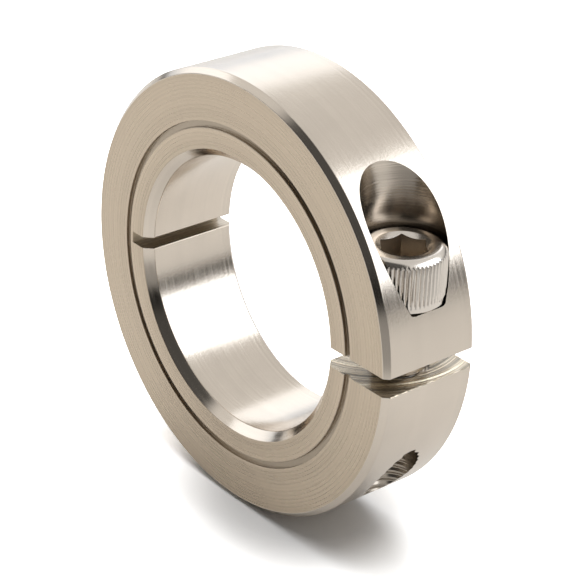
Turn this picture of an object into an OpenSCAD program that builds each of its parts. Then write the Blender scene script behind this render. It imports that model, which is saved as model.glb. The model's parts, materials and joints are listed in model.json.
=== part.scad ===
// Clamp-style shaft collar: a split steel ring that one socket head cap screw closes on its shaft.
// The bore runs along Y and the split is on the +X side, with the screw upright through both jaws.
// The origin is the bore's centre at mid-width, and the ring stands on its rim at the lowest Z.
// The ring is one piece of steel: the two jaws bend about the thin web at -X, so each is a node.

/* [Ring] */
// Outer diameter of the ring
outer_d = 52; // [51:0.5:66]
// Bore diameter, the shaft it clamps on
bore_d = 32; // [24:0.5:33]
// Width of the ring along the shaft
ring_w = 12.5; // [11:0.5:20]
// Chamfer on the outer edge at the grooved face
front_edge = 0.6; // [0.2:0.1:1.5]
// Chamfer on the outer edge at the plain face
back_edge = 0.4; // [0.2:0.1:1.5]
// Lead-in chamfer of the bore at the grooved face
front_lead = 1.0; // [0.3:0.1:2]
// Lead-in chamfer of the bore at the plain face
back_lead = 0.5; // [0.3:0.1:2]

/* [Face groove] */
// Mean diameter of the turned groove on the front face
groove_d = 39.5; // [36:0.5:46]
// Width of the groove
groove_w = 0.75; // [0.3:0.05:2]
// Depth of the groove
groove_t = 0.4; // [0.1:0.05:1]

/* [Split and web] */
// Gap between the jaws with the screw slack
split_gap = 2.2; // [1:0.1:4]
// Width of the relief notch that is cut from the bore, opposite the split
notch_w = 1.4; // [0.6:0.1:3]
// Thickness of the web left between the relief notch and the rim
web_t = 7.1; // [3:0.1:9.5]

/* [Clamp screw] */
// Major diameter of the screw thread
thread_d = 6.35; // [4:0.05:7.6]
// Thread pitch
thread_pitch = 0.907; // [0.5:0.001:1.5]
// Length of the screw under its head
screw_l = 15.9; // [10:0.1:20]
// Diameter of the screw head
head_d = 9.5; // [8.2:0.1:11.4]
// Height of the screw head
head_h = 6.2; // [4:0.1:8]
// Chamfer round the top of the head
head_edge = 0.8; // [0.2:0.1:1.5]
// Bevel round the underside of the head
head_foot = 0.35; // [0.1:0.05:0.6]
// Width across the flats of the hexagon socket
socket_af = 4.76; // [3:0.01:5.5]
// Depth of the hexagon socket
socket_t = 3.1; // [1.5:0.1:4]
// Chamfer on the tip of the screw
tip_edge = 0.6; // [0.2:0.1:1]

/* [Locking patch] */
// Length of the nylon patch along the thread
patch_l = 4.2; // [2:0.1:6]
// Distance from the tip of the screw to the patch
patch_from_tip = 1.8; // [1:0.1:3]
// How far round the screw the patch reaches, in degrees
patch_arc = 180; // [90:5:270]
// Depth of thread that the patch fills
patch_t = 0.2; // [0.1:0.05:0.4]
// How far the patch stands out of the thread
patch_proud = 0.03; // [0.01:0.01:0.05]

/* [Screw seat] */
// Height of the screw's seat above the middle of the split
seat_h = 6.9; // [5:0.1:9]
// Wall between the bore and the screw's clearance hole
hole_wall = 1.35; // [0.8:0.05:3]
// How far the jaws close at the screw when it is tightened
closing = 0.4; // [0.1:0.05:0.6]

/* [Clearances] */
// Between the head and its pocket, all round
head_gap = 0.14; // [0.05:0.01:0.5]
// Between the screw and the clearance hole in the upper jaw, all round
shank_gap = 0.2; // [0.1:0.05:0.5]
// Between the engaged thread and the tapped hole, all round, with room for the screw's small tilt
thread_gap = 0.12; // [0.1:0.01:0.3]

/* [Hidden] */
$fn = 128;

outer_r = outer_d / 2;
bore_r = bore_d / 2;
half_w = ring_w / 2;
groove_in = groove_d / 2 - groove_w / 2;
groove_out = groove_d / 2 + groove_w / 2;

// The engaged thread is drawn at its pitch line, half of the thread's depth below its crest
thread_depth = 0.65 * thread_pitch; // a 60 degree thread with flattened crests
shank_r = thread_d / 2;
engaged_r = shank_r - thread_depth / 2;
tapped_r = engaged_r + thread_gap;
clear_r = shank_r + shank_gap;
pocket_r = head_d / 2 + head_gap;

// The screw stands clear of the bore, and its full diameter stops short of the lower jaw
screw_x = bore_r + hole_wall + clear_r;
tip_z = seat_h - screw_l;
shank_end_z = closing - split_gap / 2 + thread_gap;
web_x = -(outer_r - web_t);

steel = [0.76, 0.73, 0.68];
screw_steel = [0.70, 0.69, 0.67];
nylon = [0.20, 0.36, 0.62];

cut = 1; // how far a cutting shape runs past the surface it cuts

// Half of the ring's cross-section outline: radius across, and height towards the grooved face
module ring_section() {
    polygon([
        [bore_r, -half_w + back_lead],
        [bore_r + back_lead, -half_w],
        [outer_r - back_edge, -half_w],
        [outer_r, -half_w + back_edge],
        [outer_r, half_w - front_edge],
        [outer_r - front_edge, half_w],
        [groove_out, half_w],
        [groove_out, half_w - groove_t],
        [groove_in, half_w - groove_t],
        [groove_in, half_w],
        [bore_r + front_lead, half_w],
        [bore_r, half_w - front_lead]
    ]);
}

// The whole turned ring before it is slit, with the grooved face towards -Y
module turned_ring() {
    rotate([90, 0, 0])
        rotate_extrude()
            ring_section();
}

// A block across the ring's full width, from x0 to x1 and from z0 to z1
module slab(x0, x1, z0, z1) {
    translate([x0, -half_w - cut, z0])
        cube([x1 - x0, ring_w + 2 * cut, z1 - z0]);
}

// A round hole along the screw's axis, from z0 to z1
module screw_bore(r, z0, z1) {
    translate([screw_x, 0, z0])
        cylinder(r = r, h = z1 - z0);
}

// The half of the ring above the split, before its screw holes
module upper_half() {
    intersection() {
        turned_ring();
        union() {
            slab(0, outer_r + cut, split_gap / 2, outer_r + cut);
            slab(-outer_r - cut, 0, notch_w / 2, outer_r + cut);
        }
    }
}

// The upper jaw holds the screw's head: a pocket down to the seat, and a clearance hole below it
module upper_jaw() {
    color(steel)
        difference() {
            upper_half();
            screw_bore(pocket_r, seat_h, outer_r + cut);
            screw_bore(clear_r, 0, seat_h + cut);
        }
}

// The web behind the relief notch, which bends when the jaws close
module hinge_web() {
    color(steel)
        intersection() {
            turned_ring();
            slab(-outer_r - cut, web_x, -notch_w / 2, notch_w / 2);
        }
}

// The lower jaw is tapped right through to the rim, at the thread's pitch line
module lower_jaw() {
    color(steel)
        difference() {
            mirror([0, 0, 1])
                upper_half();
            screw_bore(tapped_r, -outer_r - cut, 0);
        }
}

// Outline of the screw from its tip up to the top of its head: radius across, and height
module screw_section() {
    polygon([
        [0, tip_z],
        [engaged_r - tip_edge, tip_z],
        [engaged_r, tip_z + tip_edge],
        [engaged_r, shank_end_z],
        [shank_r, shank_end_z],
        [shank_r, seat_h],
        [head_d / 2 - head_foot, seat_h],
        [head_d / 2, seat_h + head_foot],
        [head_d / 2, seat_h + head_h - head_edge],
        [head_d / 2 - head_edge, seat_h + head_h],
        [0, seat_h + head_h]
    ]);
}

// The hexagon socket with a drill point under it and a small countersink round its corners
module key_socket() {
    corner_r = socket_af / sqrt(3);
    floor_z = seat_h + head_h - socket_t;
    drill_r = socket_af / 2;
    sink = 0.25; // depth of the countersink
    translate([screw_x, 0, floor_z])
        cylinder(r = corner_r, h = socket_t + cut, $fn = 6);
    translate([screw_x, 0, floor_z - drill_r / 2])
        cylinder(r1 = 0, r2 = drill_r, h = drill_r / 2);
    translate([screw_x, 0, seat_h + head_h - sink])
        cylinder(r1 = corner_r - sink, r2 = corner_r + sink, h = 2 * sink);
}

// A sleeve round the screw where the patch lies, between radius r0 and radius r1
module patch_sleeve(r0, r1) {
    translate([screw_x, 0, tip_z + patch_from_tip])
        rotate([0, 0, -patch_arc / 2])
            rotate_extrude(angle = patch_arc)
                translate([r0, 0])
                    square([r1 - r0, patch_l]);
}

// The socket head cap screw, with its engaged thread drawn at the pitch line
module clamp_screw() {
    color(screw_steel)
        difference() {
            translate([screw_x, 0, 0])
                rotate_extrude()
                    screw_section();
            key_socket();
            patch_sleeve(engaged_r - patch_t, engaged_r + cut);
        }
}

// The nylon patch fused into the thread, which stops the screw from shaking loose
module thread_patch() {
    color(nylon)
        patch_sleeve(engaged_r - patch_t, engaged_r + patch_proud);
}

upper_jaw();
hinge_web();
lower_jaw();
clamp_screw();
thread_patch();
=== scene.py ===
# %% [markdown]
# # A clamp-style shaft collar
# A shaft collar is a steel ring that is fixed anywhere along a shaft. This one is slit through on one
# side. A socket head cap screw across the slit draws the two jaws together, and the ring bends at the
# thin web opposite, so that it grips without marking the shaft.
#
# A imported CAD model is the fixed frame: it says how big the ring and the screw are, and how they move.
# This script makes the finishes first. Then it makes the surfaces that are seen: the turned ring with its
# pocket and its tapped hole, the knurled screw, and the nylon patch in the thread. Last come the floor,
# the light and the camera.

# %% Load the frame
import json
import math

import bmesh
import bpy
import numpy as np
from mathutils import Matrix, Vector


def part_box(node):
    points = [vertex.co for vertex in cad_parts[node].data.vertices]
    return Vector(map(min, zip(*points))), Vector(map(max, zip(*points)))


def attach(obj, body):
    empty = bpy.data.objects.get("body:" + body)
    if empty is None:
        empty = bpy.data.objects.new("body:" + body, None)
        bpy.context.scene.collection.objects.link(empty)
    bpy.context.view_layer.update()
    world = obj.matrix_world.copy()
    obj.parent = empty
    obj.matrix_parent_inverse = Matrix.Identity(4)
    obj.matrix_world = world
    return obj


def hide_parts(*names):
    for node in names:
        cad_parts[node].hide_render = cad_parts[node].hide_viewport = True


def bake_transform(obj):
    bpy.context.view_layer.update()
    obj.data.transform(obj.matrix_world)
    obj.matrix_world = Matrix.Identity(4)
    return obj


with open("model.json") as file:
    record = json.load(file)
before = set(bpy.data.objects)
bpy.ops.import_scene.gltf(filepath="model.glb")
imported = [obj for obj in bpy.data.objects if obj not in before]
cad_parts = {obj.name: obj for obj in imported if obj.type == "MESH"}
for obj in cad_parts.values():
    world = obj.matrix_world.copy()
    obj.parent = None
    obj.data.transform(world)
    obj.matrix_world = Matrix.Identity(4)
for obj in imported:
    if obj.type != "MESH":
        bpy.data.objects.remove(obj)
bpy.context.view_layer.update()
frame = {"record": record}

# %% [markdown]
# ## Sizes from the frame
# The bore runs along Y, the screw stands along Z on the +X side, and the web is on the -X side. Sizes
# that the frame knows are read from it, so the shapes stay inside the CAD model. Blender works in metres,
# but a collar is drawn in millimetres, so shapes are worked out in millimetres and scaled once, when a
# mesh is made.

# %% Sizes from the frame, in millimetres
MM = 0.001  # a millimetre in metres


def cad_corners(node):
    """Lowest and highest corner of a CAD node, in millimetres."""
    return [np.array(corner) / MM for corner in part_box(node)]


jaw_low, _ = cad_corners("lower_jaw")
_, web_high = cad_corners("hinge_web")
screw_low, screw_high = cad_corners("clamp_screw")
patch_low, patch_high = cad_corners("thread_patch")
mounts = {mount["name"]: mount for mount in frame["record"]["mounts"]}

outer_r = -jaw_low[2]
half_w = -jaw_low[1]
bore_r = mounts["bore"]["dims"]["r_mm"]
notch_half = web_high[2]
web_x = web_high[0]
screw_x = (screw_low[0] + screw_high[0]) / 2
head_r = (screw_high[1] - screw_low[1]) / 2
tip_z = screw_low[2]
top_z = screw_high[2]
print(f"ring {2 * outer_r:.1f} outside, {2 * bore_r:.1f} bore, {2 * half_w:.1f} wide")
print(f"screw at x {screw_x:.3f}, from z {tip_z:.1f} to {top_z:.1f}, head {2 * head_r:.1f} across")

# %% [markdown]
# ## Shader expressions
# Every finish here is a few sums on the place of a point: its distance from an axis, its height, and
# noise along those. A small class wraps a node's output, so that such a sum is written as plain Python
# and each operator adds its own Math node. One method adds any other node.

# %% A node tree written as expressions
class Reading:
    """The output of a node, used as a number. Each operator adds the Math node that works it out."""

    def __init__(self, paint, socket):
        self.paint = paint
        self.socket = socket

    def math(self, operation, first, second=0.0):
        return self.paint.node("ShaderNodeMath", {"operation": operation}, {0: first, 1: second})

    def __add__(self, other):
        return self.math("ADD", self, other)

    def __sub__(self, other):
        return self.math("SUBTRACT", self, other)

    def __rsub__(self, other):
        return self.math("SUBTRACT", other, self)

    def __mul__(self, other):
        return self.math("MULTIPLY", self, other)

    def __pow__(self, other):
        return self.math("POWER", self, other)

    __radd__ = __add__
    __rmul__ = __mul__

    def root(self):
        return self.math("SQRT", self)

    def sine(self):
        return self.math("SINE", self)


class Paint:
    """A node tree that is filled by expressions."""

    def __init__(self, tree):
        self.tree = tree
        tree.nodes.clear()

    def node(self, kind, settings={}, inputs={}, output=0):
        """Adds a node: its settings first, then the values or links of its inputs; returns one output."""
        made = self.tree.nodes.new(kind)
        for name, value in settings.items():
            if name == "stops":
                self.set_stops(made.color_ramp, value)
            else:
                setattr(made, name, value)
        for key, value in inputs.items():
            if isinstance(value, Reading):
                self.tree.links.new(value.socket, made.inputs[key])
            else:
                made.inputs[key].default_value = value
        return Reading(self, made.outputs[output] if made.outputs else None)

    def set_stops(self, ramp, stops):
        """Gives a colour ramp its stops, each a place from 0 to 1 and a grey or a colour."""
        while len(ramp.elements) < len(stops):
            ramp.elements.new(1.0)
        for element, (place, colour) in zip(ramp.elements, stops):
            element.position = place
            element.color = colour if isinstance(colour, tuple) else (colour, colour, colour, 1.0)

    def place(self):
        """The point's x, y and z on the object, in millimetres."""
        point = self.node("ShaderNodeTexCoord", output=3)
        scaled = self.node("ShaderNodeVectorMath", {"operation": "SCALE"}, {0: point, "Scale": 1 / MM})
        split = [self.node("ShaderNodeSeparateXYZ", {}, {0: scaled}, output=axis) for axis in range(3)]
        return scaled, split

    def grain(self, distance, per_mm, offset=0.0):
        """Noise that changes only with one distance, as tool marks do, from 0 to 1."""
        return self.node("ShaderNodeTexNoise", {"noise_dimensions": "1D"}, {
            "W": distance * per_mm + offset, "Scale": 1.0, "Detail": 1.5, "Roughness": 0.6})

    def cloud(self, point, per_mm):
        """Noise that changes in every direction, from 0 to 1; point is in millimetres."""
        return self.node("ShaderNodeTexNoise", {}, {"Vector": point, "Scale": per_mm, "Detail": 3.0})


# %% [markdown]
# ## Bare steel
# The whole ring is one warm stainless steel, and what tells its faces apart is the tool that cut them,
# and painted shade in some hollows. So one function makes the metal, and each finish only says along which
# distance its marks change. The marks are in the bump, the roughness and a little in the colour. Soft
# noise in the colour stands for handling and for uneven passivation, and fine noise in the bump for small
# pits. Between two given heights the colour can also be painted darker, as painted shade. A Bevel node
# rounds the light on edges that are too small to be worth modelling. The function returns a number, the
# finish's place in a list, because that is how a mesh's faces name their material.

# %% Bare steel with tool marks
FINISHES = []
MICRON = 1e-6  # a micrometre in metres
EDGE_BREAK = 0.04  # radius that the light sees on a deburred edge
BROAD = 7  # the broad marks are this many times as wide as the fine ones
BROAD_OFFSET = 31.0  # so that they come from another stretch of the noise
BROAD_RELIEF = 0.6  # and are this deep against the fine ones
SOFT_PER_MM = 0.22
PITS_PER_MM = 3.5
MARK_ROUGHNESS = 0.12
SOFT_ROUGHNESS = 0.08
FEED_NOISE = 0.6  # how much of the noise is left where the tool's step shows
FEED_WAVE = 0.16
# Painted shade: the colour's brightness where a finish's painted shade is darkest.
PAINTED_SHADE_DARKEST = 0.22  # brightness at the dull end of dim


def steel(name, colour, roughness, across, per_mm, depth, lines=0.10, patchy=0.05, pits=0.0, feed=0.0,
          painted_shade=None):
    """Bare steel. across gives the distance that the tool marks change along; depth is in micrometres.
    lines is how much darker a mark is than the metal between, patchy how uneven the whole is, and pits
    how deep the pits are against the marks. feed is the step of a lathe tool from turn to turn. The last
    argument gives two heights for a painted shade: the colour is painted darkest at the lower height and
    below it, and is fully bright from the higher height up."""
    material = bpy.data.materials.new(name)
    material.use_nodes = True
    paint = Paint(material.node_tree)
    point, (x, y, z) = paint.place()
    distance = across(x, y, z)
    fine = paint.grain(distance, per_mm)
    if feed:
        wave = (distance * (2 * math.pi / feed)).sine()
        fine = fine * FEED_NOISE + wave * FEED_WAVE + (1 - FEED_NOISE) / 2
    broad = paint.grain(distance, per_mm / BROAD, offset=BROAD_OFFSET)
    soft = paint.cloud(point, SOFT_PER_MM)
    specks = paint.cloud(point, PITS_PER_MM)
    shade = 1 + (fine - 0.5) * lines + (broad - 0.5) * lines + (soft - 0.5) * patchy
    # Painted shade: the colour is painted darker below the higher of the two heights, darkest at the
    # lower.
    if painted_shade:
        shade = shade * paint.node("ShaderNodeMapRange", {"interpolation_type": "SMOOTHSTEP"}, {
            "Value": z, "From Min": painted_shade[0], "From Max": painted_shade[1], "To Min": PAINTED_SHADE_DARKEST, "To Max": 1.0})
    tint = paint.node("ShaderNodeVectorMath", {"operation": "SCALE"}, {0: colour, "Scale": shade})
    rough = roughness + (fine - 0.5) * MARK_ROUGHNESS + (soft - 0.5) * SOFT_ROUGHNESS
    eased = paint.node("ShaderNodeBevel", {"samples": 4}, {"Radius": EDGE_BREAK * MM})
    relief = fine + broad * BROAD_RELIEF + specks * pits
    bump = paint.node("ShaderNodeBump", {}, {
        "Strength": 1.0, "Distance": depth * MICRON, "Height": relief, "Normal": eased})
    shader = paint.node("ShaderNodeBsdfPrincipled", {}, {
        "Base Color": tint, "Metallic": 1.0, "Roughness": rough, "Normal": bump})
    paint.node("ShaderNodeOutputMaterial", {}, {"Surface": shader})
    FINISHES.append(material)
    return len(FINISHES) - 1


print("EDGE_BREAK in metres:", EDGE_BREAK * MM)

# %% [markdown]
# ## How each tool moved
# A lathe leaves fine rings on a face, and lines round the rim and inside the bore. A counterbore and a tap
# leave rings about the screw's axis. A slitting saw is a wheel, so it leaves coarse arcs. Each function
# takes a point and gives the distance that the marks change along.

# %% Distances that the marks change along
SAW_X = 14.0  # the point that the saw's arcs go round
SAW_Y = 2.0


def round_bore(x, y, z):
    """Distance from the bore's axis, the root of x^2 + z^2: the marks are rings on a face."""
    return (x ** 2.0 + z ** 2.0).root()


def along_bore(x, y, z):
    """Distance along the bore: the marks are lines round the rim or the bore."""
    return y


def up_screw(x, y, z):
    """Height: the marks are rings round the screw's axis."""
    return z


def saw_arc(x, y, z):
    """Distance from the middle of the saw's arcs, in the plane of the split: the marks are arcs."""
    return ((x - SAW_X) ** 2.0 + (y - SAW_Y) ** 2.0).root()


print("the saw's arcs go round x", SAW_X, "y", SAW_Y)

# %% [markdown]
# ## The finishes
# The turned face shows the step of the tool from turn to turn. The rim and the bore are smoother and a
# little brighter. The groove is painted darker than the face, as painted shade in its recess. The relief
# notch is darker, and it is duller because nothing has polished it. The saw leaves the split coarse. The
# wall of the pocket is painted darker beside the head and is fully bright above it: that is painted shade
# where the head shuts out the light. The tapped thread is painted dark, as painted shade inside the hole.
# The screw is another steel, cooler than the ring, and rolled or forged instead of cut.

# %% Every steel finish
WARM = (0.53, 0.437, 0.330)
RIM_TONE = (0.62, 0.547, 0.462)
COOL = (0.68, 0.62, 0.55)
# Painted shade on the pocket's wall: it fades out between these two heights.
POCKET_PAINTED_SHADE = (12.6, 15.2)  # heights, from just under the top of the head to well above it

FACE = steel("turned_face", WARM, 0.29, round_bore, per_mm=1.9, depth=4.0,
             lines=0.20, patchy=0.08, pits=1.6, feed=0.45)
# The groove's darker colour is painted shade in its recess.
GROOVE = steel("turned_groove", (0.39, 0.325, 0.25), 0.30, round_bore, per_mm=1.9, depth=3.0)
EDGE = steel("turned_edge", RIM_TONE, 0.15, round_bore, per_mm=3.2, depth=2.0)
RIM = steel("turned_rim", RIM_TONE, 0.22, along_bore, per_mm=3.0, depth=3.0,
            lines=0.08, patchy=0.14, pits=2.0)
BORE = steel("turned_bore", RIM_TONE, 0.19, along_bore, per_mm=3.0, depth=3.0,
             lines=0.12, patchy=0.16, pits=1.6)
# The pocket's wall carries painted shade beside the head.
POCKET = steel("milled_pocket", (0.54, 0.475, 0.40), 0.22, up_screw, per_mm=4.0, depth=9.0,
               lines=0.35, patchy=0.2, painted_shade=POCKET_PAINTED_SHADE)
SAWN = steel("sawn_split", (0.55, 0.475, 0.365), 0.22, saw_arc, per_mm=7.0, depth=130.0,
             lines=2.2, patchy=0.2, pits=0.25)
NOTCH = steel("sawn_notch", (0.44, 0.38, 0.30), 0.34, round_bore, per_mm=2.2, depth=50.0,
              lines=0.5, patchy=0.2)
# The tapped hole's dark colour is painted shade inside the hole.
TAPPED = steel("cut_thread", (0.36, 0.315, 0.26), 0.20, up_screw, per_mm=5.0, depth=3.0, patchy=0.15)
SCREW_TOP = steel("forged_head", COOL, 0.20, round_bore, per_mm=1.3, depth=2.0,
                  lines=0.04, patchy=0.12, pits=1.5)
SOCKET = steel("broached_socket", (0.46, 0.395, 0.32), 0.30, up_screw, per_mm=2.0, depth=4.0,
               lines=0.1, patchy=0.2)
KNURL = steel("rolled_knurl", COOL, 0.20, round_bore, per_mm=1.3, depth=2.0,
              lines=0.04, patchy=0.12, pits=1.0)
THREAD = steel("rolled_thread", COOL, 0.20, up_screw, per_mm=5.0, depth=1.6, patchy=0.12)
print(len(FINISHES), "steel finishes")

# %% [markdown]
# ## From a grid of points to a closed solid
# Every shape here is a grid: rows follow an outline and columns go round an axis. Neighbouring points
# become four-sided faces. The first and last columns fall on the same points, and so does a pole on the
# axis, so merging equal points closes the skin. That is simpler than numbering the seam by hand, and it
# can be checked: on a closed skin every edge has two faces.

# %% Grid to mesh
MERGE = 1e-7  # metres; points nearer than this are one point


def closed(mesh):
    """Merges equal points, turns the faces outward and returns how many edges lack two faces."""
    work = bmesh.new()
    work.from_mesh(mesh)
    bmesh.ops.remove_doubles(work, verts=work.verts, dist=MERGE)
    bmesh.ops.recalc_face_normals(work, faces=work.faces)
    if work.calc_volume(signed=True) < 0:
        bmesh.ops.reverse_faces(work, faces=work.faces)
    open_edges = sum(not edge.is_manifold for edge in work.edges)
    work.to_mesh(mesh)
    work.free()
    return open_edges


def solid(name, grid, finishes):
    """A closed piece from a grid of points, rows x columns x 3, in millimetres, with one finish for
    every row of faces, or one for all."""
    rows, columns = grid.shape[:2]
    corner = np.arange(rows * columns).reshape(rows, columns)
    quads = np.stack([corner[:-1, :-1], corner[:-1, 1:], corner[1:, 1:], corner[1:, :-1]], axis=-1)
    mesh = bpy.data.meshes.new(name)
    mesh.from_pydata((grid.reshape(-1, 3) * MM).tolist(), [], quads.reshape(-1, 4).tolist())
    for material in FINISHES:
        mesh.materials.append(material)
    row_finish = np.broadcast_to(finishes, rows - 1).astype(np.int32)
    mesh.polygons.foreach_set("material_index", np.repeat(row_finish, columns - 1))
    open_edges = closed(mesh)
    piece = bpy.data.objects.new(name, mesh)
    bpy.context.scene.collection.objects.link(piece)
    print(f"{name}: {len(mesh.polygons)} faces, {open_edges} open edges")
    return piece


# %% [markdown]
# ## The turned ring
# On the lathe the ring is one outline carried round the bore: a chamfer leads into the bore at each face,
# the rim's edges are chamfered, and a narrow groove marks the front face. Each corner is eased by a
# small arc, because a perfectly sharp edge catches no light. The outline has only the points that its
# shape needs, with a few more along the long stretches so that the faces stay even. The chamfers and the
# groove are not in the frame, so their sizes are given here.

# %% Outline of the ring
FRONT_EDGE = 0.6  # chamfers of the rim, then lead-ins of the bore
BACK_EDGE = 0.4
FRONT_LEAD = 1.0
BACK_LEAD = 0.5
GROOVE_IN = 19.375  # radii of the groove's two walls
GROOVE_OUT = 20.125
GROOVE_DEPTH = 0.4
EASE = 0.07  # how far each corner's arc reaches along its two sides
ARC_STEPS = 3


def unit(vector):
    return vector / np.linalg.norm(vector)


def eased_outline(corners, ease):
    """A closed outline through corners, each (first, second, finish after it, pieces to the next corner).
    Each corner p becomes an arc p + (1 - s)^2 a + s^2 b, where a and b reach back and ahead by ease."""
    s = np.linspace(0, 1, ARC_STEPS + 1)[:, None]
    points, finishes = [], []
    for k, (first, second, finish, pieces) in enumerate(corners):
        here = np.array([first, second])
        back = ease * unit(np.array(corners[k - 1][:2]) - here)
        following = np.array(corners[(k + 1) % len(corners)][:2])
        ahead = ease * unit(following - here)
        points.append(here + (1 - s) ** 2 * back + s ** 2 * ahead)
        points.append(np.linspace(here + ahead, following - ahead, pieces + 1)[1:-1])
        finishes += [finish] * (ARC_STEPS + pieces)
    points = np.concatenate(points)
    return np.vstack([points, points[:1]]), finishes


ring_corners = [
    (bore_r, -half_w + FRONT_LEAD, EDGE, 1),
    (bore_r + FRONT_LEAD, -half_w, FACE, 3),
    (GROOVE_IN, -half_w, GROOVE, 1),
    (GROOVE_IN, -half_w + GROOVE_DEPTH, GROOVE, 1),
    (GROOVE_OUT, -half_w + GROOVE_DEPTH, GROOVE, 1),
    (GROOVE_OUT, -half_w, FACE, 6),
    (outer_r - FRONT_EDGE, -half_w, EDGE, 1),
    (outer_r, -half_w + FRONT_EDGE, RIM, 9),
    (outer_r, half_w - BACK_EDGE, EDGE, 1),
    (outer_r - BACK_EDGE, half_w, FACE, 8),
    (bore_r + BACK_LEAD, half_w, EDGE, 1),
    (bore_r, half_w - BACK_LEAD, BORE, 9),
]
ring_outline, ring_finishes = eased_outline(ring_corners, EASE)
print(len(ring_outline), "points in the ring's outline")

# %% [markdown]
# ## The outline, carried round
# On a lathe every section through the axis comes out the same, so the ring is its outline at each angle.
# The steps are a third of a millimetre long at the rim, and that keeps it round.

# %% Turn the outline round the bore
RING_STEPS = 480


def turned_round_bore(outline, steps):
    """Carries an outline of (radius, y) round the Y axis: (r cos a, y, r sin a)."""
    angle = np.linspace(0, 2 * np.pi, steps + 1)
    r, y = outline[:, :1], outline[:, 1:]
    return np.stack([r * np.cos(angle), y + 0 * angle, r * np.sin(angle)], axis=-1)


ring = solid("collar_ring", turned_round_bore(ring_outline, RING_STEPS), ring_finishes)

# %% [markdown]
# ## Split and relief notch
# A slitting saw cuts the ring through on the screw's side, and a second cut from the bore leaves the web.
# Both are straight slots along Y, so each cutting shape is an outline in the XZ plane carried across the
# ring's width. It flares a little where it leaves the ring, which breaks the edge of the cut, as a
# deburring tool does.

# %% Cutting shapes for the slots
SPLIT_HALF = 1.1
FLARE = 0.07
PAST = 1.0  # how far a cutting shape runs past what it cuts


def slot_cutter(name, inner_x, outer_x, half, flared_at, finish):
    """A closed block between two x, half thick each side of z = 0, flared at the ring surfaces that it
    leaves through. flared_at lists their x."""
    way = np.sign(outer_x - inner_x)
    above = [(inner_x, half)]
    for x in flared_at:
        if x == flared_at[-1]:
            above += [(x - way * FLARE, half), (x + way * PAST, half + FLARE + PAST)]
        else:
            above += [(x - way * 3 * FLARE, half + 4 * FLARE), (x + way * FLARE, half)]
    outline = np.array(above + [(x, -z) for x, z in above[::-1]])
    y = np.array([-half_w - PAST, half_w + PAST])
    count = len(outline)
    points = np.array([(x, across, z) for across in y for x, z in outline]) * MM
    sides = [(k, (k + 1) % count, (k + 1) % count + count, k + count) for k in range(count)]
    ends = [tuple(range(count)), tuple(range(2 * count - 1, count - 1, -1))]
    mesh = bpy.data.meshes.new(name)
    mesh.from_pydata(points.tolist(), [], sides + ends)
    for material in FINISHES:
        mesh.materials.append(material)
    mesh.polygons.foreach_set("material_index", [finish] * len(mesh.polygons))
    closed(mesh)
    cutter = bpy.data.objects.new(name, mesh)
    bpy.context.scene.collection.objects.link(cutter)
    return cutter


rim_x = math.sqrt(outer_r ** 2 - SPLIT_HALF ** 2)
bore_x = math.sqrt(bore_r ** 2 - SPLIT_HALF ** 2)
split_cutter = slot_cutter("split_cutter", bore_x - PAST, rim_x, SPLIT_HALF, [bore_x, rim_x], SAWN)
notch_mouth = -math.sqrt(bore_r ** 2 - notch_half ** 2)
notch_cutter = slot_cutter("notch_cutter", web_x, notch_mouth, notch_half, [notch_mouth], NOTCH)

# %% [markdown]
# ## Pocket and clearance hole
# The screw's head sits in a flat-bottomed pocket, and its shank passes a clearance hole. Those and the
# countersink over the tapped hole are one outline turned about the screw's axis.

# %% Turned screw hole
SEAT_Z = 6.9
POCKET_R = 4.89
CLEAR_R = 3.375
CLEAR_EDGE = 0.12  # chamfer where the clearance hole meets the split
SEAT_EDGE = 0.25  # chamfer where it meets the seat
SEAT_CORNER = 0.2  # where the seat starts to turn up into the pocket's wall
SEAT_ROUND = 0.06  # how near that corner the turn comes
SINK_R = 3.5
SINK_T = 0.5  # depth of the countersink over the tapped hole
HOLE_STEPS = 180


def turned_round_screw(r, z, angle):
    """Points at radius r and height z about the screw's axis: (x0 + r cos a, r sin a, z)."""
    r, z, angle = np.broadcast_arrays(r, z, angle)
    return np.stack([screw_x + r * np.cos(angle), r * np.sin(angle), z], axis=-1)


hole_corners = [
    (0.0, -SPLIT_HALF - SINK_T, POCKET), (SINK_R - SINK_T, -SPLIT_HALF - SINK_T, TAPPED),
    (SINK_R, -SPLIT_HALF, TAPPED), (SINK_R, 0.0, POCKET),
    (CLEAR_R + CLEAR_EDGE, 0.0, POCKET), (CLEAR_R + CLEAR_EDGE, SPLIT_HALF, POCKET),
    (CLEAR_R, SPLIT_HALF + CLEAR_EDGE, POCKET), (CLEAR_R, SEAT_Z - SEAT_EDGE, POCKET),
    (CLEAR_R + SEAT_EDGE, SEAT_Z, POCKET), (POCKET_R - SEAT_CORNER, SEAT_Z, POCKET),
    (POCKET_R - SEAT_ROUND, SEAT_Z + SEAT_ROUND, POCKET), (POCKET_R, SEAT_Z + SEAT_CORNER, POCKET),
    (POCKET_R, outer_r + PAST, POCKET), (0.0, outer_r + PAST, POCKET),
]
hole_r = np.array([corner[0] for corner in hole_corners])[:, None]
hole_z = np.array([corner[1] for corner in hole_corners])[:, None]
hole_angle = np.linspace(0, 2 * np.pi, HOLE_STEPS + 1)
hole_cutter = solid("hole_cutter", turned_round_screw(hole_r, hole_z, hole_angle),
                    [corner[2] for corner in hole_corners[:-1]])

# %% [markdown]
# ## A thread as a formula
# A thread is a cylinder whose radius depends on its height less pitch times turns. Rows of points that run
# along the helix put a point exactly on every crest and root, where level rows would give the thread a
# ragged edge. The rows are clamped to the ends, where they fall together and merge.

# %% Radius and rows of a thread
PITCH = 0.907
THREAD_TOP = 3.175  # radius of the screw's crests, and of its roots
THREAD_LOW = 2.62
CREST = 1 / 8  # width of the flat crest, in pitches
FALL = math.sqrt(3) * PITCH  # how far a 60 degree flank falls in a pitch


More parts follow.
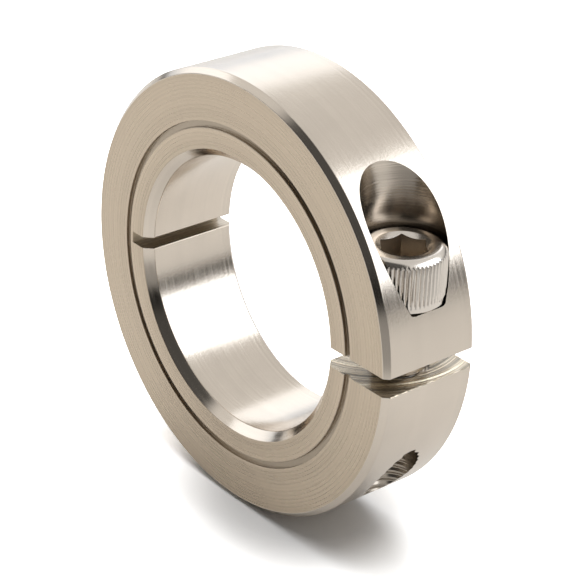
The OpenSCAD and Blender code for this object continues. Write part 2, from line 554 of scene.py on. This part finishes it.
def thread_radius(z, angle, top, low):
    """Radius of a right-hand thread. A crest's middle lies where z / pitch - turns is a whole number;
    past the flat crest the flank falls at 60 degrees to the axis, down to the root."""
    away = np.abs((z / PITCH - angle / (2 * np.pi) + 0.5) % 1 - 0.5)
    return np.clip(top - FALL * (away - CREST / 2), low, top)


def thread_rows(low_z, high_z, top, low, angle):
    """Heights and radii of a thread between two heights, in rows that follow the helix upward."""
    foot = CREST / 2 + (top - low) / FALL
    bends = np.array([-CREST / 2, CREST / 2, foot, 1 - foot])
    turns = np.arange(math.floor(low_z / PITCH) - 2, math.ceil(high_z / PITCH) + 2)
    starts = (turns[:, None] + bends).reshape(-1, 1) * PITCH
    z = np.clip(starts + PITCH * angle / (2 * np.pi), low_z, high_z)
    return z, thread_radius(z, angle, top, low)


print(f"a {2 * THREAD_TOP:.2f} mm screw thread with roots at {2 * THREAD_LOW:.2f} mm")

# %% [markdown]
# ## The tapped hole
# The lower jaw is tapped right through, and the hole breaks out through the rim, where it can be looked
# into, so it has its real thread. It is wider than the screw's thread all round, because the screw tilts a
# little with the upper jaw as the jaws close. Towards the rim the tap leaves only a shallow thread.

# %% Cutting shape for the tapped hole
THREAD_PLAY = 0.17  # room for the screw to tilt
TAP_LOW = 2.84  # the tapped hole's own minor radius
TAP_STEPS = 96
TAP_TOP_Z = -SPLIT_HALF - 0.2  # inside the countersink
TAP_SHORT = 4.0  # it ends this far above the ring's lowest point, which is well out of the hole's mouth
EXIT_Z = -10.6  # from here down the hole is no wider than EXIT_R
EXIT_R = 3.0
EXIT_FADE = 1.5  # height over which it narrows to that

tap_angle = np.linspace(0, 2 * np.pi, TAP_STEPS + 1)
tap_top = THREAD_TOP + THREAD_PLAY
tap_z, tap_r = thread_rows(-outer_r + TAP_SHORT, TAP_TOP_Z, tap_top, TAP_LOW, tap_angle)
tap_r = np.minimum(tap_r, np.interp(tap_z, [EXIT_Z, EXIT_Z + EXIT_FADE], [EXIT_R, tap_top]))
tap_z = np.vstack([tap_z[:1], tap_z, tap_z[-1:]])
tap_r = np.vstack([0 * tap_r[:1], tap_r, 0 * tap_r[-1:]])
tap_cutter = solid("tap_cutter", turned_round_screw(tap_r, tap_z, tap_angle), TAPPED)

# %% [markdown]
# ## Cutting with a shape
# The exact Boolean solver takes a cutting shape away, and hands the shape's finish to the surface that it
# leaves. The result is kept as the piece's own mesh, so that nothing has to be worked out again later.

# %% Cut a piece
def cut(piece, cutter):
    """Takes a cutting shape away from a piece for good, with its finishes, and removes the cutter."""
    modifier = piece.modifiers.new("cut", "BOOLEAN")
    modifier.operation = "DIFFERENCE"
    modifier.solver = "EXACT"
    modifier.material_mode = "TRANSFER"
    modifier.object = cutter
    graph = bpy.context.evaluated_depsgraph_get()
    mesh = bpy.data.meshes.new_from_object(piece.evaluated_get(graph))
    piece.modifiers.clear()
    piece.data = mesh
    bpy.data.objects.remove(cutter)


for cutter in (split_cutter, notch_cutter, tap_cutter, hole_cutter):
    cut(ring, cutter)
open_edges = closed(ring.data)
print(f"collar_ring after cutting: {len(ring.data.polygons)} faces, {open_edges} open edges")

# %% [markdown]
# ## True light on round surfaces
# Cut faces are flat polygons, so on a round surface the light would show every one. A lathe or a drill
# leaves a surface whose true direction is known: it points away from the axis, or towards it. So each
# corner of a face on such a surface gets that exact direction, and everything else keeps its own.

# %% Direction of each face corner
RING_CREASE = 20  # edges sharper than this stay sharp, in degrees


def read(items, name, width, kind=np.float32):
    """A property of every item of a mesh, as an array."""
    values = np.empty(len(items) * width, kind)
    items.foreach_get(name, values)
    return values.reshape(-1, width) if width > 1 else values


def true_normals(mesh, axes):
    """Sets the direction of each face corner on a round surface: the face's own slope along the axis,
    with the rest pointing straight away from the axis or towards it. axes lists the finishes, a point
    on the axis, in millimetres, and its direction."""
    points = read(mesh.vertices, "co", 3)
    normals = read(mesh.polygons, "normal", 3)
    centres = read(mesh.polygons, "center", 3)
    finish = read(mesh.polygons, "material_index", 1, np.int32)
    face = np.repeat(np.arange(len(finish)), read(mesh.polygons, "loop_total", 1, np.int32))
    vertex = read(mesh.loops, "vertex_index", 1, np.int32)
    result = np.zeros((len(vertex), 3))
    for finishes, origin, direction in axes:
        origin, direction = np.array(origin) * MM, np.array(direction)
        flat = 1 - np.abs(direction)
        mine = np.isin(finish[face], finishes)
        spoke = (points[vertex[mine]] - origin) * flat
        spoke /= np.linalg.norm(spoke, axis=1, keepdims=True)
        own = normals[face[mine]]
        outward = np.sign(np.sum(own * (centres[face[mine]] - origin) * flat, axis=1))
        along = own @ direction
        across = np.sqrt(np.clip(1 - along ** 2, 0, 1)) * outward
        result[mine] = along[:, None] * direction + across[:, None] * spoke
    mesh.normals_split_custom_set(result.tolist())


def smooth(piece, degrees):
    """Smooths a piece everywhere but across edges sharper than so many degrees."""
    mesh = piece.data
    mesh.polygons.foreach_set("use_smooth", [True] * len(mesh.polygons))
    mesh.set_sharp_from_angle(angle=math.radians(degrees))


smooth(ring, RING_CREASE)
true_normals(ring.data, [
    ((FACE, GROOVE, EDGE, RIM, BORE), (0, 0, 0), (0, 1, 0)),
    ((POCKET,), (screw_x, 0, 0), (0, 0, 1)),
])
ring_finish = read(ring.data.polygons, "material_index", 1, np.int32)
face_counts = {FINISHES[k].name: int(np.sum(ring_finish == k)) for k in np.unique(ring_finish)}
print("faces of each finish:", face_counts)

# %% [markdown]
# ## The clamp screw
# A socket head cap screw is forged, and its head is knurled so that fingers can spin it. It is one grid:
# down in the socket, up its hexagon, over the head, down the knurl and along the thread to the tip. The
# hexagon is a radius that depends on the angle, the knurl is a ripple that is taken off the radius, and
# taking the lesser of ripple and rounded edge gives the scallops where the knurl starts. Each tooth has
# six columns, and the hexagon's corners fall on columns too.

# %% Head and socket
TEETH = 60
TOOTH_STEPS = 6
SOCKET_ACROSS = 4.76
SOCKET_DEPTH = 3.1
SOCKET_TURN = 23  # degrees from +X to a corner of the hexagon
SOCKET_EASE = 0.05  # how far the corner at the socket's floor is eased
DRILL_R = 2.2  # the drilled point under the socket
DRILL_POINT = 1.1
SINK_TOP_R = 3.02  # the countersink that takes the hexagon's corners off, and how steep it is
SINK_SLOPE = 0.65
SINK_EASE = 0.04
SINK_LIP = 0.03
FLAT_TOP_R = 3.80
EDGE_DROP = 0.85  # height of the rounded edge
EDGE_TURN = 56  # degrees that it turns before the knurl cuts it off
EDGE_ROWS = 12
KNURL_DEPTH = 0.16
KNURL_NARROW = 1.4  # above 1, the grooves are narrower than the teeth
KNURL_ROWS = 6
KNURL_RUNOUT = 0.25
BAND_TOP = SEAT_Z + 1.1  # the plain band under the knurl
BAND_R = head_r - 0.07
FOOT = 0.35
SEAT_GAP = 0.012  # keeps the head's underside just off the seat, so that the two don't share a plane
UNDER_HEAD_R = 3.5
NECK = [(3.2, 0.08), (3.05, 0.30), (3.02, 0.60), (3.02, 1.0)]  # radius, and depth under the seat

around = np.linspace(0, 2 * np.pi, TOOTH_STEPS * TEETH + 1)
hexagon = SOCKET_ACROSS / 2 / np.cos(np.radians((np.degrees(around) - SOCKET_TURN) % 60 - 30))
ripple = head_r - KNURL_DEPTH * (0.5 + 0.5 * np.cos(TEETH * around)) ** KNURL_NARROW
socket_floor = top_z - SOCKET_DEPTH
sink_z = top_z - (SINK_TOP_R - hexagon) * SINK_SLOPE

rows = [
    (0.0, socket_floor - DRILL_POINT, SOCKET),
    (DRILL_R - 2 * SOCKET_EASE, socket_floor - SOCKET_EASE, SOCKET),
    (DRILL_R, socket_floor, SOCKET),
    (hexagon - SOCKET_EASE, socket_floor, SOCKET),
    (hexagon, socket_floor + SOCKET_EASE, SOCKET),
    (hexagon, socket_floor + 1.0, SOCKET),
    (hexagon, socket_floor + 2.0, SOCKET),
    (hexagon, sink_z, SCREW_TOP),
    (SINK_TOP_R - SINK_EASE, top_z - SINK_SLOPE * SINK_EASE, SCREW_TOP),
    (SINK_TOP_R + SINK_LIP, top_z, SCREW_TOP),
    ((SINK_TOP_R + FLAT_TOP_R) / 2, top_z, SCREW_TOP),
]
for turn in np.radians(np.linspace(0, EDGE_TURN, EDGE_ROWS)):
    edge_r = FLAT_TOP_R + (head_r - FLAT_TOP_R) * math.sin(turn) / math.sin(math.radians(EDGE_TURN))
    edge_z = top_z - EDGE_DROP * (1 - math.cos(turn)) / (1 - math.cos(math.radians(EDGE_TURN)))
    rows.append((np.minimum(edge_r, ripple), edge_z, SCREW_TOP))
rows[-1] = (*rows[-1][:2], KNURL)
for knurl_z in np.linspace(top_z - EDGE_DROP, BAND_TOP, KNURL_ROWS)[1:]:
    rows.append((ripple, knurl_z, KNURL))
rows += [
    (BAND_R, BAND_TOP - KNURL_RUNOUT, KNURL),
    (BAND_R, (BAND_TOP + SEAT_Z + FOOT) / 2, KNURL),
    (BAND_R, SEAT_Z + FOOT, KNURL),
    (BAND_R - FOOT, SEAT_Z + SEAT_GAP, KNURL),
    (UNDER_HEAD_R, SEAT_Z + SEAT_GAP, KNURL),
]
rows += [(neck_r, SEAT_Z - under, THREAD) for neck_r, under in NECK]
print(len(rows), "rows from the socket to the neck")

# %% [markdown]
# ## Thread and tip
# Under a plain neck the screw is threaded down to its tip, where a chamfer lets it find the hole. The
# thread's rows come from the same formula as the tapped hole's, with the screw's own radii, and the
# chamfer is the lesser of the thread's radius and a cone. The rows are turned about, because the grid goes
# down the screw and they are counted upward.

# %% Thread, tip and the whole screw
THREAD_END_Z = SEAT_Z - 1.3  # the neck is plain above this
TIP_R = 2.3  # radius of the flat tip
SCREW_CREASE = 28  # edges sharper than this stay sharp, in degrees
thread_z, thread_r = thread_rows(tip_z, THREAD_END_Z, THREAD_TOP, THREAD_LOW, around)
thread_r = np.minimum(thread_r, TIP_R + (thread_z - tip_z))
rows += [(r, z, THREAD) for r, z in zip(thread_r[::-1], thread_z[::-1])]
rows.append((0.0, tip_z, THREAD))

screw_r = np.array([np.broadcast_to(row[0], around.shape) for row in rows])
screw_z = np.array([np.broadcast_to(row[1], around.shape) for row in rows])
screw = solid("socket_screw", turned_round_screw(screw_r, screw_z, around), [row[2] for row in rows[:-1]])
smooth(screw, SCREW_CREASE)

# %% [markdown]
# ## The locking patch
# A patch of nylon is fused into half of the screw's thread, so that the screw holds its place before it
# is tight. Inside the tapped hole it can't be seen, but it belongs to the screw. It is a thin layer that
# follows the thread: an outer surface just clear of the tapped hole, an inner one just inside the
# screw's steel, and edges where the two meet.

# %% Nylon patch
PATCH_REACH = math.radians(90)  # each way round from +X
PATCH_STEPS = 60
PATCH_OUT = 0.02  # how far the patch stands out of the thread, and how far its back lies inside
PATCH_IN = 0.05
DARK_BLUE = (0.03, 0.09, 0.30, 1.0)
PALE_BLUE = (0.06, 0.17, 0.46, 1.0)
MOTTLE_PER_MM = 1.6


def nylon(name):
    """Satin blue nylon, a little mottled where it melted into the thread."""
    material = bpy.data.materials.new(name)
    material.use_nodes = True
    paint = Paint(material.node_tree)
    point, _ = paint.place()
    mottle = paint.cloud(point, MOTTLE_PER_MM)
    ramp = paint.node("ShaderNodeValToRGB", {"stops": [(0.3, DARK_BLUE), (0.7, PALE_BLUE)]}, {0: mottle})
    bump = paint.node("ShaderNodeBump", {}, {"Strength": 0.5, "Distance": 20 * MICRON, "Height": mottle})
    shader = paint.node("ShaderNodeBsdfPrincipled", {}, {
        "Base Color": ramp, "Roughness": 0.35 + mottle * 0.2, "Normal": bump})
    paint.node("ShaderNodeOutputMaterial", {}, {"Surface": shader})
    return material


FINISHES.append(nylon("fused_nylon"))
reach = np.linspace(-PATCH_REACH, PATCH_REACH, PATCH_STEPS + 1)
patch_z, patch_r = thread_rows(patch_low[2], patch_high[2], THREAD_TOP, THREAD_LOW, reach)
outer, inner = patch_r + PATCH_OUT, (patch_r - PATCH_IN)[::-1]
loop_r = np.vstack([outer, inner, outer[:1]])
loop_z = np.vstack([patch_z, patch_z[::-1], patch_z[:1]])
middle_r = np.vstack([patch_r, patch_r[::-1], patch_r[:1]])
loop_r = np.hstack([middle_r[:, :1], loop_r, middle_r[:, -1:]])
loop_z = np.hstack([loop_z[:, :1], loop_z, loop_z[:, -1:]])
reach = np.concatenate([reach[:1], reach, reach[-1:]])
patch = solid("nylon_patch", turned_round_screw(loop_r, loop_z, reach), len(FINISHES) - 1)
smooth(patch, SCREW_CREASE)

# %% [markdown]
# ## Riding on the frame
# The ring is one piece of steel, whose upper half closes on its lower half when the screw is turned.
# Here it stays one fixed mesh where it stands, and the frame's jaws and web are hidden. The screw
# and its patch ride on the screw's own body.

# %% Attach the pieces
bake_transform(ring)
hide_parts("upper_jaw", "hinge_web", "lower_jaw")
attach(screw, "screw")
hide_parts("clamp_screw")
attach(patch, "screw")
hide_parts("thread_patch")

# %% [markdown]
# ## The floor
# The floor is one matt pale square under the ring. Bright metal is seen almost only by what it reflects,
# so the floor's brightness is also that of the lower parts of the ring. Its own material treats the kinds
# of ray differently: to the camera it is brighter than to the metal, less so near the ring's foot, which
# sets how wide its shadow looks, and in the metal's reflections it is darker on the camera's side. That is
# stage dressing, and not how a real floor behaves. The object's own finishes do nothing of the kind.

# %% Floor
FLOOR_SIZE = 3.0  # metres
FLOOR_SHADE = 0.89
FLOOR_PER_MM = 0.01  # a trace of unevenness
FLOOR_UNEVEN = 0.02
CAMERA_GAIN = 1.4  # how much brighter the floor is to the camera than to the metal, far from the ring
FOOT_X = 6.0  # the middle of the shadow
CONTACT_R = 7.0  # how far from there that starts
CLEAR_SHADOW_R = 20.0  # and where it is whole
FRONT_X = 0.65  # the level way to the camera's side
FRONT_Y = -0.76
FRONT_FROM = 62.0  # how far out that way the reflected floor starts to darken
FRONT_TO = 100.0
FRONT_DIM = -0.55


def plain(name, shade):
    """A matt pale floor: its shade times 1 + the camera's gain + the dimming of its reflection in front.
    The gain grows with distance from the ring's foot, and the dimming with distance to the front."""
    material = bpy.data.materials.new(name)
    material.use_nodes = True
    paint = Paint(material.node_tree)
    point, (x, y, _) = paint.place()
    away = ((x - FOOT_X) ** 2.0 + y ** 2.0).root()
    is_camera, is_glossy = [paint.node("ShaderNodeLightPath", output=kind) for kind in (0, 3)]
    gain = paint.node("ShaderNodeMapRange", {"interpolation_type": "SMOOTHSTEP"}, {
        "Value": away, "From Min": CONTACT_R, "From Max": CLEAR_SHADOW_R,
        "To Min": 0.0, "To Max": CAMERA_GAIN})
    dimming = paint.node("ShaderNodeMapRange", {"interpolation_type": "SMOOTHSTEP"}, {
        "Value": x * FRONT_X + y * FRONT_Y, "From Min": FRONT_FROM, "From Max": FRONT_TO,
        "To Min": 0.0, "To Max": FRONT_DIM})
    uneven = paint.cloud(point, FLOOR_PER_MM) * FLOOR_UNEVEN
    level = (shade + uneven) * (1 + is_camera * gain + is_glossy * dimming)
    tint = paint.node("ShaderNodeVectorMath", {"operation": "SCALE"}, {0: (1.0, 1.0, 1.0), "Scale": level})
    shader = paint.node("ShaderNodeBsdfDiffuse", {}, {"Color": tint})
    paint.node("ShaderNodeOutputMaterial", {}, {"Surface": shader})
    return material


corner = FLOOR_SIZE / 2
floor_mesh = bpy.data.meshes.new("floor")
floor_z = -outer_r * MM
floor_mesh.from_pydata([(-corner, -corner, floor_z), (corner, -corner, floor_z), (corner, corner, floor_z),
                        (-corner, corner, floor_z)], [], [(0, 1, 2, 3)])
floor_mesh.materials.append(plain("pale_floor", FLOOR_SHADE))
floor = bpy.data.objects.new("floor", floor_mesh)
bpy.context.scene.collection.objects.link(floor)
print("floor at z", round(floor_z, 4))

# %% [markdown]
# ## Lights
# A softbox that is mirrored in metal and one that lights a floor want different places, so each kind does
# one job. Three are only seen in the metal: a card behind on the left whitens the top of the rim, one on
# the left in front carries that round, and a bright one behind on the right whitens the rim beside the
# pocket. Two keys only light the floor, from the left and from above, and give it its soft shadow.

# %% Lights
COOL_CARD = (0.90, 0.97, 1.08)  # so that the warm steel shows a card as plain white


def softbox(name, azimuth, elevation, distance, width, height, brightness, lights):
    """A soft rectangle of light that faces the collar. Azimuth goes from +X towards +Y, in degrees;
    brightness is its radiance, so its power is pi times area times brightness. A glossy one is only
    seen in the metal, and a diffuse one only lights the floor."""
    light = bpy.data.lights.new(name, "AREA")
    light.shape = "RECTANGLE"
    light.size = width
    light.size_y = height
    light.energy = math.pi * width * height * brightness
    light.color = COOL_CARD if lights == "glossy" else (1.0, 1.0, 1.0)
    box = bpy.data.objects.new(name, light)
    box.visible_diffuse = lights == "diffuse"
    box.visible_glossy = lights == "glossy"
    box.visible_camera = False
    azimuth, elevation = math.radians(azimuth), math.radians(elevation)
    back = np.array([math.cos(azimuth) * math.cos(elevation), math.sin(azimuth) * math.cos(elevation),
                     math.sin(elevation)])
    right = unit(np.cross([0, 0, 1], back))
    up = np.cross(back, right)
    turn = Matrix(np.column_stack([right, up, back]).tolist()).to_4x4()
    box.matrix_world = Matrix.Translation((back * distance).tolist()) @ turn
    bpy.context.scene.collection.objects.link(box)


softbox("left_back_card", azimuth=142, elevation=18, distance=0.9,
        width=0.80, height=0.56, brightness=0.98, lights="glossy")
softbox("left_front_card", azimuth=195, elevation=20, distance=0.9,
        width=0.70, height=0.45, brightness=0.95, lights="glossy")
softbox("right_back_card", azimuth=38, elevation=33, distance=0.9,
        width=0.95, height=0.66, brightness=2.4, lights="glossy")
softbox("left_key", azimuth=165, elevation=55, distance=1.2,
        width=1.2, height=1.2, brightness=1.3, lights="diffuse")
softbox("overhead_key", azimuth=90, elevation=85, distance=1.2,
        width=1.3, height=1.3, brightness=2.0, lights="diffuse")
print("lights:", [light.name for light in bpy.data.lights])

# %% [markdown]
# ## Sky
# The sky is a ramp of greys by height. It is pale but for a dark band just over the horizon, which draws
# a dark line between the rim and the floor. Towards the front there is a dark gap, as a studio has where
# the camera stands, and it darkens the metal that mirrors it, such as the rim when that is seen from
# behind. To the camera the sky is a plain near-white, and to the floor it is dimmer, so that the keys make
# the shadow.

# %% Sky
SKY_STOPS = [  # place from straight down at 0 through the horizon at 0.5 to straight up at 1, and a grey
    (0.0, 0.85), (0.503, 0.85), (0.515, 0.11), (0.56, 0.16), (0.62, 0.75), (0.80, 0.95), (1.0, 0.80)]
CARD_GAP = (0.25, -0.86, 0.43)  # the way to the dark gap in front
GAP_FROM = 0.68  # cosines of the angles from it, at the gap's soft edge
GAP_TO = 0.80
GAP_SHADE = 0.11
DIFFUSE_DIM = 0.55
BACKDROP = (0.97, 0.97, 0.97, 1.0)

world = bpy.data.worlds.new("studio")
bpy.context.scene.world = world
world.use_nodes = True
sky = Paint(world.node_tree)
direction = sky.node("ShaderNodeTexCoord", output=0)
rise = sky.node("ShaderNodeSeparateXYZ", {}, {0: direction}, output=2)
glow = sky.node("ShaderNodeValToRGB", {"stops": SKY_STOPS}, {0: rise * 0.5 + 0.5})
facing = sky.node("ShaderNodeVectorMath", {"operation": "DOT_PRODUCT"},
                  {0: direction, 1: CARD_GAP}, output=1)
gap = sky.node("ShaderNodeMapRange", {"interpolation_type": "SMOOTHSTEP"}, {
    "Value": facing, "From Min": GAP_FROM, "From Max": GAP_TO, "To Min": 1.0, "To Max": GAP_SHADE})
camera_ray = sky.node("ShaderNodeLightPath", output=0)
diffuse_ray = sky.node("ShaderNodeLightPath", output=2)
dimmed = sky.node("ShaderNodeVectorMath", {"operation": "SCALE"}, {
    0: glow, "Scale": gap * (1 - diffuse_ray * DIFFUSE_DIM)})
mixed = sky.node("ShaderNodeMix", {"data_type": "RGBA"}, {0: camera_ray, 6: dimmed, 7: BACKDROP}, output=2)
background = sky.node("ShaderNodeBackground", {}, {"Color": mixed, "Strength": 1.0})
sky.node("ShaderNodeOutputWorld", {}, {"Surface": background})
bpy.context.scene.view_settings.view_transform = "Standard"
print("sky of", len(SKY_STOPS), "greys")

# %% [markdown]
# ## Camera
# The collar is seen from the front right and from above, with the split and the screw towards the
# camera. A long lens at about a quarter of a metre keeps the ring's perspective mild.

# %% Camera
AZIMUTH = 0.872  # radians from the front towards the right
ELEVATION = 0.476  # radians up
ROLL = 0.032
AIM_RIGHT = -6.259  # millimetres from the middle of the view to the middle of the front face
AIM_UP = -0.998
DISTANCE = 245.07
FOCAL_LENGTH = 137.48
SENSOR = 36.0

back = np.array([math.sin(AZIMUTH) * math.cos(ELEVATION), -math.cos(AZIMUTH) * math.cos(ELEVATION),
                 math.sin(ELEVATION)])
level = np.array([math.cos(AZIMUTH), math.sin(AZIMUTH), 0.0])
upright = np.cross(back, level)
right = math.cos(ROLL) * level + math.sin(ROLL) * upright
up = math.cos(ROLL) * upright - math.sin(ROLL) * level
print("camera right", right.round(5), "up", up.round(5), "back", back.round(5))
eye = -AIM_RIGHT * right - AIM_UP * up + DISTANCE * back - np.array([0, half_w, 0])
lens = bpy.data.cameras.new("camera")
lens.lens = FOCAL_LENGTH
lens.sensor_width = SENSOR
lens.clip_start = 0.01
lens.clip_end = 10.0
camera = bpy.data.objects.new("camera", lens)
camera.matrix_world = Matrix.Translation((eye * MM).tolist()) @ Matrix(
    np.column_stack([right, up, back]).tolist()).to_4x4()
bpy.context.scene.collection.objects.link(camera)
bpy.context.scene.camera = camera
print("camera at", (eye * MM).round(5))
